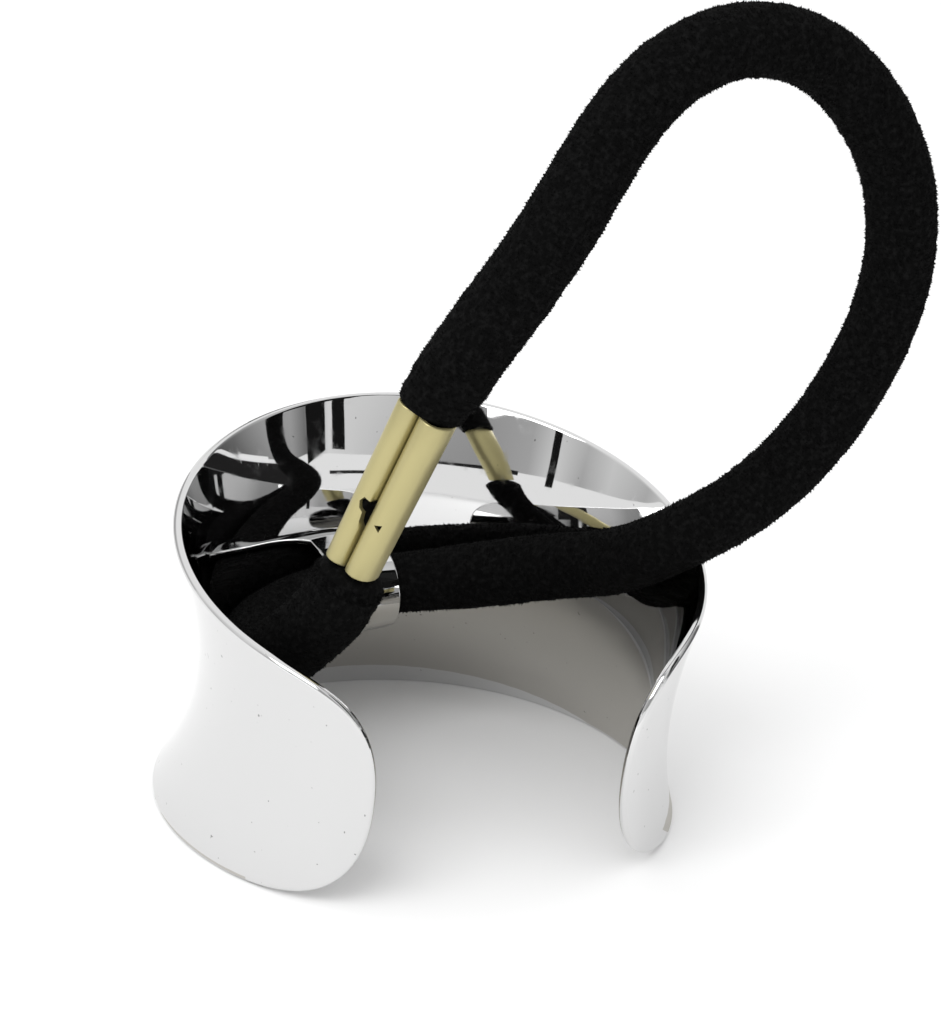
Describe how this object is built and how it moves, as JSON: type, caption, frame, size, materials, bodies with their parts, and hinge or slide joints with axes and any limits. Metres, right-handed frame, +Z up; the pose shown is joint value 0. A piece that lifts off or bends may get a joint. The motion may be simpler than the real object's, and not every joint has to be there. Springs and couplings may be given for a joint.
{
  "type": "ponytail cuff hair tie",
  "caption": "Waisted C-shaped metal cuff that stands on its rim, with a round braided elastic held in a strap inside its back and joined in a folded metal crimp.",
  "frame": {"origin": "on the plane that the cuff stands on, straight below the middle of its waist", "axes": "+Z up, -Y towards the cuff's opening, +Y towards the cuff's back, +X to the side where the elastic's loop leans"},
  "size_m": [0.0623, 0.0438, 0.0743],
  "materials": {
    "plating": "polished silver-coloured plating",
    "braid": "matt black braided textile over a rubber core",
    "crimp": "satin pale gold wash"
  },
  "bodies": {
    "root": {"cuff": "plating", "elastic_band": "braid", "crimp_ferrule": "crimp"}
  },
  "joints": []
}
